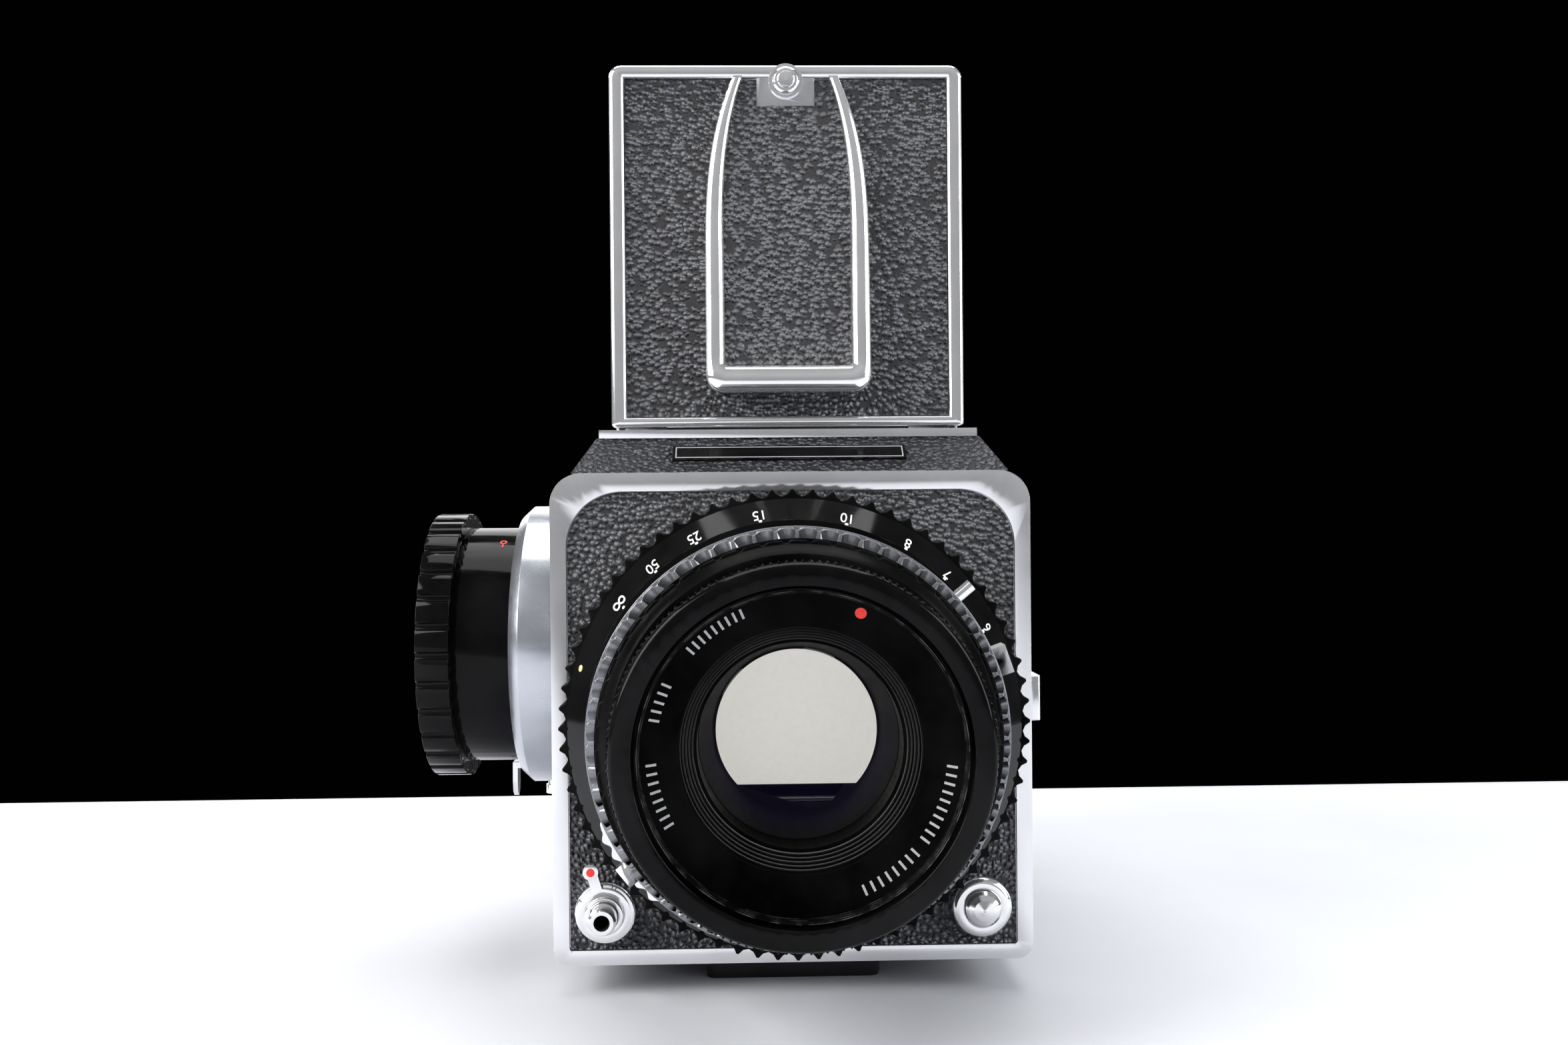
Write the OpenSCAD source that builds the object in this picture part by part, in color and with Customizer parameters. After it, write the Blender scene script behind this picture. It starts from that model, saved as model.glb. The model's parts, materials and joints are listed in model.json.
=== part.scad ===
// Medium-format single lens reflex camera with folding waist-level hood.
// Origin: tripod socket axis on the base face. +Z up, the lens faces -Y.

/* [Body] */
// Width of the body casing
body_w = 91; // [80:1:100]
// Height of the body casing above the foot
body_h = 93; // [80:1:100]
// Depth of the body casing, front face to rear face
body_d = 76; // [70:1:85]
// Height of the casing's underside above the base of the foot
foot_h = 6; // [4:0.5:10]
// Height of the lens axis above the base of the foot
axis_z = 53; // [48:0.5:58]
// Width of the bright edge left bare beside the front covering
edge_w = 3; // [2:0.2:5]
// Wall thickness of the casing
wall = 4; // [3:0.5:6]

/* [Lens] */
// Outer radius of the toothed focusing ring
focus_r = 42.5; // [38:0.5:44]
// Teeth around the focusing ring
focus_teeth = 72; // [48:4:96]
// Outer radius of the aperture ring
aperture_r = 36; // [33:0.5:39]
// Outer radius of the shutter speed ring
shutter_r = 34; // [32:0.5:36]
// Outer radius of the front bayonet tube
front_r = 30.5; // [28:0.5:33]
// Bore radius of the front bayonet tube
filter_r = 26; // [24:0.5:28]
// Distance from the casing's front face to the lens's front edge
lens_len = 50; // [45:1:60]

/* [Hood] */
// Width of the hood lid
lid_w = 69; // [60:1:74]
// Height of the raised hood lid
lid_h = 70.5; // [60:0.5:75]
// Height of the side wings
wing_h = 28; // [20:1:28]
// Height of the rear panel
rear_h = 20; // [12:1:20]

/* [Winding knob] */
// Distance of the knob's axis behind the casing's front face
knob_back = 36; // [30:1:42]
// Height of the knob's axis
knob_z = 64; // [58:1:68]
// Radius of the bright boss under the knob
boss_r = 29; // [26:0.5:30]
// Radius of the knob's smooth hub
hub_r = 24.5; // [20:0.5:26]
// Radius of the knob's ridged rim
rim_r = 27.5; // [25:0.5:30]

/* [Magazine] */
// Depth of the film magazine
mag_d = 46; // [40:1:55]

/* [Hidden] */
front_y = -30;
rear_y = front_y + body_d;
half = body_w / 2;
base_z = foot_h;
top_z = foot_h + body_h;
knob_y = front_y + knob_back;
mag_y = rear_y + 0.3;
mag_end = mag_y + mag_d;
button_x = 35.7;
button_z = base_z + 10;
mirror_y = 34.5;
mirror_z = axis_z + 32.5;
flap_y = 39.5;
roof_z = top_z + 7;
lip_z = roof_z + 1.6;
lid_y = -20;
lid_z = lip_z + 0.6;
hinge_y = -15.8;
hinge_z = 112;
wing_x = 33;
wing_z = 108.5;
rear_hinge_y = 43;
rear_hinge_z = 106.9;
latch_z = lid_z + lid_h - 3.3;
swing_z = lid_z + 60;
lens_z = lid_z + 24.9;
gear_teeth = 20;
idler_teeth = 30;
idler_x = -22.9;
idler_y = 10;
crank_z = 27.8;
run = 0.05;

$fn = 64;

// Rounded plate outline standing on y = 0, with its own radii below and above
module outline(w, h, rb, rt) {
    translate([-w / 2, rb]) square([w, h - rb - rt]);
    translate([-w / 2 + rb, 0]) square([w - 2 * rb, rb + 1]);
    translate([-w / 2 + rt, h - rt - 1]) square([w - 2 * rt, rt + 1]);
    for (s = [-1, 1]) {
        translate([s * (w / 2 - rb), rb]) circle(rb);
        translate([s * (w / 2 - rt), h - rt]) circle(rt);
    }
}

// Outline in the X-Z plane pushed back along +Y from y
module upright(y, t) {
    translate([0, y + t, 0]) rotate([90, 0, 0]) linear_extrude(t) children();
}

// Frame of the lens: local z runs forward from the casing's front face
module on_lens() {
    translate([0, front_y, axis_z]) rotate([90, 0, 0]) children();
}

// Frame of a front button at x
module on_button(x) {
    translate([x, front_y, button_z]) rotate([90, 0, 0]) children();
}

// Frame of the winding knob: local z runs out to the left
module on_knob() {
    translate([-half, knob_y, knob_z]) rotate([0, -90, 0]) children();
}

// Ring from radius a to radius b between heights low and high
module ring(a, b, low, high) {
    translate([0, 0, low]) difference() {
        cylinder(r = b, h = high - low);
        translate([0, 0, -1]) cylinder(r = a, h = high - low + 2);
    }
}

// Casing, with its front recess, lens throat, film opening and bores
module body_shell() {
    color([0.78, 0.78, 0.79]) difference() {
        upright(front_y, body_d) translate([0, base_z]) outline(body_w, body_h, 3, 6);
        translate([-half + wall + 0.5, front_y + wall, base_z + wall])
            cube([body_w - 2 * wall - 1, body_d - 2 * wall, body_h - 2 * wall]);
        upright(front_y - 1, 2) translate([0, base_z + 2.8])
            outline(body_w - 2 * edge_w, body_h - 6.3, 0.6, 10.5);
        on_lens() translate([0, 0, -wall - 1]) cylinder(r = 31, h = wall + 2);
        translate([-31, rear_y - wall - 1, axis_z - 31]) cube([62, wall + 2, 62]);
        translate([-31, -18, top_z - wall - 1]) cube([62, 60, wall + 2]);
        for (s = [-1, 1]) translate([s * half, 8, 52]) cube([2, 68, 84], center = true);
        for (s = [-1, 1]) on_button(s * button_x) translate([0, 0, -5]) cylinder(r = 2.65, h = 6);
        on_knob() translate([0, 0, -wall - 2]) cylinder(r = 5, h = wall + 3);
        for (y = [-14, 34]) translate([0, y, base_z - 1]) cylinder(r = 1.5, h = 3.5);
        translate([0, 6, base_z]) cube([80, 66, 1.6], center = true);
    }
}

// Grained covering on the front face
module front_leather() {
    color([0.09, 0.09, 0.10]) difference() {
        upright(front_y + 0.2, 0.8) translate([0, base_z + 3])
            outline(body_w - 2 * edge_w - 0.4, body_h - 6.7, 0.6, 10.3);
        on_lens() translate([0, 0, -3]) cylinder(r = 35.1, h = 5);
        on_button(-button_x) translate([0, 0, -3]) cylinder(r = 5.85, h = 5);
        on_button(button_x) translate([0, 0, -3]) cylinder(r = 5.75, h = 5);
    }
}

// Grained coverings on both sides
module side_leathers() {
    color([0.09, 0.09, 0.10]) difference() {
        for (s = [-1, 1]) translate([s * (half - 0.6), 8, 52]) cube([0.8, 67.6, 83.6], center = true);
        on_knob() translate([0, 0, -3]) cylinder(r = boss_r + 0.1, h = 5);
        translate([half - 2, -18.2, axis_z - 2.7]) cube([4, 53.4, 7.4]);
        for (s = [-1, 1]) translate([s * half, 38, 88]) rotate([0, 90, 0])
            cylinder(r = 2.9, h = 6, center = true);
    }
}

// Cover plate let into the underside
module base_plate() {
    color([0.12, 0.12, 0.13]) difference() {
        translate([0, 6, base_z + 0.4]) cube([79.6, 65.6, 0.8], center = true);
        translate([-17.1, -20.1, base_z - 1]) cube([34.2, 58.2, 3]);
    }
}

// Sloping grained roof around the finder well
module roof_leather() {
    color([0.09, 0.09, 0.10]) difference() {
        hull() {
            translate([-41.5, -29, top_z]) cube([83, 74, 0.1]);
            translate([-37.5, -20, roof_z - 0.1]) cube([75, 65, 0.1]);
        }
        translate([-30, -12, top_z - 1]) cube([60, 54, 10]);
        translate([-32, -19, top_z - 1]) cube([64, 62, 2.6]);
    }
}

// Blank badge on the front slope of the roof
module name_plate() {
    color([0.03, 0.03, 0.03]) translate([0, -24.5, top_z + 3.55]) rotate([atan2(6.9, 9), 0, 0])
        translate([-22.5, -2.2, 0.02]) cube([45, 4.4, 0.5]);
}

// Channel that carries the mirror, the rear flaps and the idler gear
module mirror_box() {
    color([0.05, 0.05, 0.05]) union() {
        difference() {
            translate([-35, -20, base_z + wall]) cube([70, 61.9, body_h - 2 * wall]);
            translate([-32, -21, base_z + wall + 2]) cube([64, 64, body_h]);
            translate([0, mirror_y, mirror_z]) rotate([0, 90, 0])
                cylinder(r = 1.5, h = 80, center = true);
            for (z = [axis_z - 28, axis_z + 28]) translate([0, flap_y, z]) rotate([0, 90, 0])
                cylinder(r = 0.9 + run, h = 80, center = true);
        }
        on_knob() translate([idler_x, idler_y, -wall - 6.5]) cylinder(r = 3, h = 6);
    }
}

// Fixed pin of the mirror hinge
module mirror_pin() {
    color([0.6, 0.6, 0.62]) translate([0, mirror_y, mirror_z]) rotate([0, 90, 0])
        cylinder(r = 1.5, h = 69.8, center = true);
}

// Reflex mirror on its carrier, inclined at 45 degrees at rest
module mirror() {
    color([0.8, 0.85, 0.9]) translate([0, mirror_y, mirror_z]) rotate([45, 0, 0]) difference() {
        union() {
            translate([-29.5, -58, -1.5]) cube([59, 57, 3]);
            for (s = [-1, 1]) translate([s * 27.8, 0, 0]) rotate([0, 90, 0])
                cylinder(r = 2.4, h = 8, center = true);
        }
        rotate([0, 90, 0]) cylinder(r = 1.5 + run, h = 80, center = true);
        translate([-23.7, -3, -3]) cube([47.4, 8, 6]);
    }
}

// Upper half of the rear shutter, hinged at its top edge
module top_flap() {
    color([0.08, 0.08, 0.08]) union() {
        translate([-31.5, flap_y - 0.5, axis_z + 0.2]) cube([63, 1, 27.8]);
        translate([0, flap_y, axis_z + 28]) rotate([0, 90, 0])
            cylinder(r = 0.9, h = 68, center = true);
    }
}

// Lower half of the rear shutter, hinged at its bottom edge
module bottom_flap() {
    color([0.08, 0.08, 0.08]) union() {
        translate([-31.5, flap_y - 0.5, axis_z - 28]) cube([63, 1, 27.8]);
        translate([0, flap_y, axis_z - 28]) rotate([0, 90, 0])
            cylinder(r = 0.9, h = 68, center = true);
    }
}

// Frame that holds the focusing screen in the casing's top
module screen_frame() {
    color([0.7, 0.7, 0.72]) difference() {
        translate([-31, -18, top_z - 4]) cube([62, 60, 4]);
        translate([-28, -14, top_z - 2]) cube([56, 54, 4]);
        translate([-26.5, -12.5, top_z - 5]) cube([53, 51, 8]);
    }
}

// Ground focusing screen
module focusing_screen() {
    color([0.85, 0.87, 0.85, 0.6]) translate([-27.9, -13.9, top_z - 2]) cube([55.8, 53.8, 1.8]);
}

// Bayonet ring seated in the casing's front
module lens_mount_ring() {
    color([0.75, 0.75, 0.76]) on_lens() rotate_extrude()
        polygon([[27, -4], [31, -4], [31, -1], [35, -1], [35, 1.2], [27, 1.2]]);
}

// Stepped collar around the shutter release
module release_collar() {
    color([0.78, 0.78, 0.79]) on_button(-button_x) rotate_extrude()
        polygon([[2.65, -1], [5.8, -1], [5.8, 0.4], [5.5, 0.8], [3.65, 0.8], [3.65, 3], [2.65, 3]]);
}

// Shutter release button, threaded for a cable release
module release_button() {
    color([0.75, 0.75, 0.76]) on_button(-button_x) rotate_extrude()
        polygon([[0, -3.5], [2.6, -3.5], [2.6, 6.6], [2.2, 7], [2.2, 7.5], [1.5, 7.5], [1.5, 1],
                 [0, 1]]);
}

// Time exposure lever turning on the release collar
module time_lever() {
    color([0.75, 0.75, 0.76]) on_button(-button_x) union() {
        ring(3.65 + run, 4.9, 0.85, 1.7);
        rotate(107) translate([4.5, -1, 0.9]) cube([3.2, 2, 0.8]);
        rotate(107) translate([8.5, 0, 0.9]) cylinder(r = 1.45, h = 1.5);
    }
}

// Collar around the lens release
module lens_release_collar() {
    color([0.78, 0.78, 0.79]) on_button(button_x) rotate_extrude()
        polygon([[3.45, -1], [5.7, -1], [5.7, 0.6], [4.9, 1.4], [3.45, 1.4]]);
}

// Domed lens release button
module lens_release_button() {
    color([0.78, 0.78, 0.79]) on_button(button_x) rotate_extrude()
        polygon([[0, -3.5], [2.6, -3.5], [2.6, 0.3], [3.4, 0.3], [3.4, 2.2], [2.9, 2.8],
                 [1.9, 3.3], [0, 3.6]]);
}

// Bright boss between the casing and the knob
module winder_boss() {
    color([0.78, 0.78, 0.79]) on_knob() difference() {
        rotate_extrude()
            polygon([[4 + run, -1], [boss_r, -1], [boss_r, 7.4], [boss_r - 1.9, 9.5],
                     [4 + run, 9.5]]);
        translate([-22, 0, 4]) rotate([0, -90, 0]) cylinder(r = 1.5 + run, h = 12);
    }
}

// Smooth black hub of the winding knob, with the crank's hinge ears and a pocket for its handle
module knob_hub() {
    color([0.03, 0.03, 0.03]) on_knob() difference() {
        union() {
            difference() {
                cylinder_at(hub_r, 9.7, 24.5);
                translate([-17, 0, crank_z]) rotate([90, 0, 0])
                    cylinder(r = 3.7, h = 10.4, center = true);
            }
            for (s = [-1, 1]) translate([-18.5, s * 6.4 - 1, 24]) cube([3, 2, 5.3]);
        }
        cylinder_at(4, 9, 20);
        translate([13, 0, 12]) cylinder(r = 6.2, h = 14);
        translate([-17, 0, crank_z]) rotate([90, 0, 0]) cylinder(r = 0.8 + run, h = 20, center = true);
    }
}

// Solid cylinder between heights low and high
module cylinder_at(r, low, high) {
    translate([0, 0, low]) cylinder(r = r, h = high - low);
}

// Ridged gripping rim of the winding knob
module knob_rim() {
    color([0.04, 0.04, 0.04]) on_knob() translate([0, 0, 21]) linear_extrude(6.5) difference() {
        circle(rim_r);
        circle(hub_r);
        for (i = [0:29]) rotate(i * 12 + 6) translate([rim_r + 0.25, 0]) circle(0.9);
    }
}

// Shaft from the knob to the gears inside the casing
module drive_shaft() {
    color([0.6, 0.6, 0.62]) on_knob() cylinder_at(4, -9.8, 20);
}

// Gear outline of unit module with n teeth, one of them centred at the angle turn
module gear_shape(n, turn) {
    circle(n / 2 - 1.3);
    for (i = [0:n - 1]) rotate(turn + i * 360 / n)
        polygon([[n / 2 - 1.8, -0.9], [n / 2 - 1.2, -0.85], [n / 2 + 0.8, -0.35],
                 [n / 2 + 0.8, 0.35], [n / 2 - 1.2, 0.85], [n / 2 - 1.8, 0.9]]);
}

// Gear fixed on the drive shaft
module drive_gear() {
    color([0.72, 0.6, 0.35]) on_knob() translate([0, 0, -8]) linear_extrude(3) difference() {
        gear_shape(gear_teeth, atan2(idler_y, idler_x));
        circle(4);
    }
}

// Idler gear turning on the mirror box's stub
module idler_gear() {
    color([0.72, 0.6, 0.35]) on_knob() translate([idler_x, idler_y, -8]) linear_extrude(3) difference() {
        gear_shape(idler_teeth, atan2(idler_y, idler_x) + 180 + 180 / idler_teeth);
        circle(3 + run);
    }
}

// Folding crank arm, shown folded across the knob
module crank_arm() {
    color([0.7, 0.7, 0.72]) on_knob() difference() {
        union() {
            translate([-18, -5, 24.8]) cube([31, 10, 2.2]);
            translate([-18, -5, 24.8]) cube([2, 10, 3]);
            translate([13, 0, 24.8]) cylinder(r = 5, h = 2.2);
            translate([-17, 0, crank_z]) rotate([90, 0, 0]) cylinder(r = 1, h = 10, center = true);
            translate([-17, 0, crank_z]) rotate([90, 0, 0]) cylinder(r = 0.8, h = 14.4, center = true);
        }
        translate([13, 0, 24]) cylinder(r = 1.5 + run, h = 4);
    }
}

// Handle on the crank arm, resting in the hub's pocket
module crank_handle() {
    color([0.05, 0.05, 0.05]) on_knob() translate([13, 0, 0]) rotate_extrude()
        polygon([[0, 13], [3, 13], [3.5, 13.5], [3.5, 24.7], [1.5, 24.7], [1.5, 27.05], [2.2, 27.05],
                 [2.2, 27.4], [0, 27.4]]);
}

// Spring catch under the boss that holds the knob
module crank_catch() {
    color([0.7, 0.7, 0.72]) on_knob() translate([-24.5, 0, 4]) rotate([0, -90, 0]) union() {
        cylinder(r = 1.5, h = 7.4);
        translate([0, 0, 5.6]) ring(1.4, 1.9, 0, 1.8);
    }
}

// Accessory rail on the right side
module accessory_rail() {
    color([0.75, 0.75, 0.76]) union() {
        translate([half - 1, -18, axis_z - 2.5]) cube([3.2, 53, 7]);
        translate([half + 1.8, -18, axis_z - 3.5]) cube([2.4, 53, 9]);
    }
}

// Strap lug on each side
module strap_lugs() {
    color([0.75, 0.75, 0.76]) for (s = [-1, 1])
        translate([s * (half - 1), 38, 88]) rotate([0, s * 90, 0]) rotate_extrude()
            polygon([[0, 0], [2.8, 0], [2.8, 1.1], [1.6, 1.3], [1.6, 2.9], [2.6, 3.1], [2.6, 3.9],
                     [0, 3.9]]);
}

// Foot with the tripod socket
module tripod_foot() {
    color([0.15, 0.15, 0.16]) difference() {
        union() {
            translate([-17, -20, 1]) cube([34, 58, base_z - 0.2]);
            linear_extrude(1.2) translate([-17, -20]) union() {
                translate([2, 0]) square([30, 58]);
                translate([0, 2]) square([34, 54]);
                for (x = [2, 32]) for (y = [2, 56]) translate([x, y]) circle(2);
            }
        }
        translate([0, 0, -1]) cylinder(r = 3.175, h = 12);
        for (y = [-14, 34]) translate([0, y, -1]) cylinder(r = 1.5, h = 12);
        for (y = [-14, 34]) translate([0, y, -1]) cylinder(r = 3, h = 3.2);
    }
}

// Two screws that hold the foot
module foot_screws() {
    color([0.7, 0.7, 0.72]) for (y = [-14, 34]) translate([0, y, 0]) difference() {
        union() {
            cylinder_at(2.8, 0.4, 2.2);
            cylinder_at(1.45, 2, 8.3);
        }
        translate([-3, -0.4, 0]) cube([6, 0.8, 1]);
    }
}

// Fixed base of the hood, with its hinge lugs and the lid's hinge pin
module finder_base() {
    color([0.78, 0.78, 0.79]) difference() {
        union() {
            difference() {
                translate([-37, -20.4, roof_z]) cube([74, 65.4, 1.6]);
                translate([-31.4, -13, roof_z - 1]) cube([62.8, 57.2, 4]);
            }
            for (s = [-1, 1]) translate([s * 28 - 4, hinge_y - 1.1, roof_z + 1])
                cube([8, 2.2, hinge_z - roof_z - 1]);
            for (s = [-1, 1]) translate([s * 28, hinge_y, hinge_z]) rotate([0, 90, 0])
                cylinder(r = 1.1, h = 8, center = true);
            translate([0, hinge_y, hinge_z]) rotate([0, 90, 0]) cylinder(r = 0.9, h = 60, center = true);
            for (s = [-1, 1]) for (y = [-12.8, 43.4])
                translate([s * wing_x - 1.2, y - 0.6, roof_z + 1]) cube([2.4, 1.2, 2.7]);
        }
        for (s = [-1, 1]) translate([s * wing_x, 0, wing_z]) rotate([90, 0, 0])
            cylinder(r = 0.7 + run, h = 100, center = true);
        translate([0, rear_hinge_y, rear_hinge_z]) rotate([0, 90, 0])
            cylinder(r = 0.6 + run, h = 65, center = true);
    }
}

// Half width of the magnifier housing at height z above the lid's lower edge
function housing(z) = z < 9.7 ? 12.6 + sqrt(max(0, 10.89 - pow(9.7 - z, 2)))
    : z < 30 ? 15.9 : 15.9 - 5.9 * pow((z - 30) / 39, 3);

// Housing outline between heights low and high, drawn in from its side edges by g
// at the foot and by top_g at the top
module housing_shape(g, low, high, top_g) {
    n = 44;
    us = [for (i = [0:n]) (1 - cos(180 * i / n)) / 2];
    left = [for (u = us) let (z = low + (high - low) * u)
        [housing(z) - g - (top_g - g) * pow(u, 3), z]];
    right = [for (i = [n:-1:0]) [-left[i][0], left[i][1]]];
    translate([0, lid_z]) polygon(concat(left, right));
}

// Slab from a to b behind the housing's sloping front
module slope(a, b) {
    translate([0, lid_y - 5.4, lid_z + 7]) rotate([-atan2(5.2, 62), 0, 0])
        translate([-40, a, -12]) cube([80, b - a, 100]);
}

// Rectangle of width w and height h centred on x = 0, its lower edge at y
module block(w, y, h) {
    translate([-w / 2, y]) square([w, h]);
}

// Hood lid: bright rim, plate, magnifier housing and latch tab
module hood_lid() {
    color([0.78, 0.78, 0.79]) difference() {
        union() {
            upright(lid_y, 3) difference() {
                translate([0, lid_z]) outline(lid_w, lid_h, 0.6, 2.4);
                block(lid_w - 5.6, lid_z + 1.8, lid_h - 4.2);
            }
            upright(lid_y + 1.8, 1.2) difference() {
                block(lid_w - 5, lid_z + 1, lid_h - 2.4);
                housing_shape(3.6, 11.4, 52, 3.3);
            }
            intersection() {
                slope(0, 30);
                upright(lid_y - 7, 10) difference() {
                    housing_shape(0, 6.5, 69, 0);
                    housing_shape(3.5, 11.4, 70, 1.6);
                }
            }
            intersection() {
                slope(1.1, 1.9);
                upright(lid_y - 7, 8.8) housing_shape(3, 9.8, 69, 1.2);
            }
            upright(lid_y + 0.1, 2) block(11, lid_z + lid_h - 7.8, 7.5);
            on_latch() cylinder(r = 3.3, h = 3);
            for (s = [-1, 1]) translate([s * 17, hinge_y, hinge_z]) rotate([0, 90, 0])
                cylinder(r = 1.7, h = 13.8, center = true);
            for (s = [-1, 1]) translate([s * 17 - 6.9, lid_y + 2.5, hinge_z - 1.6])
                cube([13.8, 1.7, 3.2]);
            for (s = [-1, 1]) translate([s * 10.6 - 1.4, lid_y + 2.5, swing_z - 1.4])
                cube([2.8, 2.9, 2.8]);
        }
        translate([0, hinge_y, hinge_z]) rotate([0, 90, 0])
            cylinder(r = 0.9 + run, h = 70, center = true);
        translate([0, -15.6, swing_z]) rotate([0, 90, 0])
            cylinder(r = 0.7 + run, h = 22, center = true);
        on_latch() translate([0, 0, -6]) cylinder(r = 2.6 + run, h = 12);
    }
}

// Frame of the latch: local z runs forward from the lid's tab
module on_latch() {
    translate([0, lid_y + 1.5, latch_z]) rotate([90, 0, 0]) children();
}

// Grained coverings of the lid and of its magnifier housing
module lid_leather() {
    color([0.09, 0.09, 0.10]) union() {
        upright(lid_y + 0.6, 1.2) difference() {
            block(lid_w - 6, lid_z + 2, lid_h - 4.6);
            housing_shape(-0.1, 6.4, 69.1, -0.1);
            block(11.4, lid_z + lid_h - 8, 10);
        }
        intersection() {
            slope(0.5, 1.1);
            upright(lid_y - 7, 8.8) difference() {
                housing_shape(3.7, 11.6, 67.8, 1.9);
                block(11.4, lid_z + lid_h - 8, 10);
            }
        }
    }
}

// Latch button of the lid
module lid_latch() {
    color([0.75, 0.75, 0.76]) on_latch() rotate_extrude()
        polygon([[0, -1.9], [2.6, -1.9], [2.6, 3.4], [2.2, 3.8], [1.7, 3.8], [1.5, 4.2], [0, 4.4]]);
}

// Side wing standing on its hinge barrel at x, with barrel pins at both ends
module wing(x) {
    translate([x, 0, wing_z]) union() {
        translate([-0.4, 0, 0]) rotate([90, 0, 90]) linear_extrude(0.8)
            polygon([[-12, 0], [-12, 10.5], [-5.8, 18], [1.2, 24.5], [6.2, wing_h], [14.2, wing_h],
                     [42.6, 18], [42.6, 0]]);
        translate([0, 42.6, 0]) rotate([90, 0, 0]) cylinder(r = 0.8, h = 54.6);
        translate([0, 43.9, 0]) rotate([90, 0, 0]) cylinder(r = 0.7, h = 57.2);
    }
}

// Left wing of the hood
module left_wing() {
    color([0.06, 0.06, 0.06]) wing(-wing_x);
}

// Right wing of the hood
module right_wing() {
    color([0.06, 0.06, 0.06]) wing(wing_x);
}

// Rear panel of the hood
module rear_panel() {
    color([0.06, 0.06, 0.06]) union() {
        upright(rear_hinge_y - 0.4, 0.8) translate([0, rear_hinge_z])
            polygon([[-30, 0], [30, 0], [30, 4.5], [25.5, 10], [21, 15], [16.5, rear_h],
                     [-16.5, rear_h], [-21, 15], [-25.5, 10], [-30, 4.5]]);
        translate([0, rear_hinge_y, rear_hinge_z]) rotate([0, 90, 0])
            cylinder(r = 0.6, h = 64, center = true);
    }
}

// Swinging arm with the magnifier's ring, stored inside the lid's housing
module magnifier_arm() {
    color([0.1, 0.1, 0.1]) union() {
        upright(lid_y + 3.1, 1) difference() {
            union() {
                block(16, lens_z, swing_z - lens_z);
                translate([0, lens_z]) circle(12);
            }
            translate([0, lens_z]) circle(10.5);
        }
        upright(lid_y - 0.5, 4.6) translate([0, lens_z]) difference() {
            circle(12);
            circle(10.5);
        }
        translate([0, -15.6, swing_z]) rotate([0, 90, 0]) cylinder(r = 1.1, h = 18, center = true);
        translate([0, -15.6, swing_z]) rotate([0, 90, 0]) cylinder(r = 0.7, h = 21.4, center = true);
    }
}

// Magnifying lens of the hood
module magnifier_lens() {
    color([0.8, 0.85, 0.9, 0.4]) translate([0, lid_y + 3, lens_z]) rotate([90, 0, 0]) rotate_extrude()
        polygon([[0, -0.6], [5, -0.4], [8, 0], [10.5, 0.8], [10.5, 2], [8, 2.6], [5, 3], [0, 3.3]]);
}

// Fixed barrel of the lens, with its rear bayonet and the bearing of the focusing ring
module lens_barrel() {
    color([0.10, 0.10, 0.11]) on_lens() rotate_extrude()
        polygon([[24.5, -3.9], [26.9, -3.9], [26.9, 1.25], [36, 1.25], [36, 3.9], [29, 3.9],
                 [29, 19.5], [27, 19.5], [27, 3], [24.5, 3]]);
}

// Toothed focusing ring
module focus_ring() {
    step = 360 / focus_teeth;
    root = focus_r - 1.3;
    tooth = [[0, 1], [0.12, 1], [0.3, 0.3], [0.56, 0], [0.82, 0.3]];
    color([0.05, 0.05, 0.05]) on_lens() translate([0, 0, 4]) linear_extrude(9.9) difference() {
        polygon([for (i = [0:focus_teeth - 1]) for (k = tooth)
            let (a = (i + k[0]) * step, r = root + k[1] * 1.3) [r * cos(a), r * sin(a)]]);
        circle(29 + run);
    }
}

// Conical band that carries the distance scale
module distance_band() {
    color([0.03, 0.03, 0.03]) on_lens() rotate_extrude()
        polygon([[29 + run, 13.9], [40.8, 13.9], [40.8, 14.5], [37, 20], [29 + run, 20]]);
}

// Front group's barrel, sliding inside the fixed barrel
module front_barrel() {
    color([0.06, 0.06, 0.06]) on_lens() difference() {
        rotate_extrude() polygon([[25, 3.2], [26.95, 3.2], [26.95, 20.3], [30, 20.3], [30, 22.9],
            [35.5, 22.9], [35.5, 25.4], [30, 25.4], [30, 38.2], [26, 38.2], [26, 41], [20, 41],
            [19.4, 39.6], [19, 39.6], [18.4, 38.2], [18, 38.2], [17.4, 36.8], [17, 36.8], [17, 30],
            [24, 28], [25, 28]]);
        rotate(40) translate([33, 0, 24.15]) rotate([0, 90, 0]) cylinder(r = 1.1, h = 5);
    }
}

// Ring from radius a with n scallops cut into its outer radius b
module scalloped(a, b, n, cut, low, high) {
    translate([0, 0, low]) linear_extrude(high - low) difference() {
        circle(b);
        circle(a);
        for (i = [0:n - 1]) rotate(i * 360 / n) translate([b + cut * 0.45, 0]) circle(cut);
    }
}

// Aperture ring
module aperture_ring() {
    color([0.3, 0.3, 0.31]) on_lens() union() {
        ring(30 + run, aperture_r, 25.6, 30.4);
        scalloped(30 + run, aperture_r - 0.3, 60, 0.8, 30.3, 31.8);
    }
}

// Shutter speed ring with a bevelled front
module shutter_ring() {
    color([0.08, 0.08, 0.09]) on_lens() union() {
        ring(30 + run, shutter_r, 32, 34.9);
        scalloped(30 + run, shutter_r - 0.3, 54, 0.8, 34.8, 36);
        rotate_extrude() polygon([[30 + run, 35.9], [33.2, 35.9], [31.5, 38], [30 + run, 38]]);
    }
}

// Front tube with the filter bayonet's bore
module front_tube() {
    color([0.04, 0.04, 0.04]) on_lens() rotate_extrude()
        polygon([[filter_r, 38.2], [front_r, 38.2], [front_r, lens_len - 0.6], [front_r - 0.6, lens_len],
                 [filter_r + 0.8, lens_len], [filter_r + 0.8, lens_len - 4], [filter_r, lens_len - 4]]);
}

// Inner ring around the front glass
module name_ring() {
    color([0.03, 0.03, 0.03]) on_lens() rotate_extrude()
        polygon([[20, 41], [26, 41], [26, 45], [20, 42.6]]);
}

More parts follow.
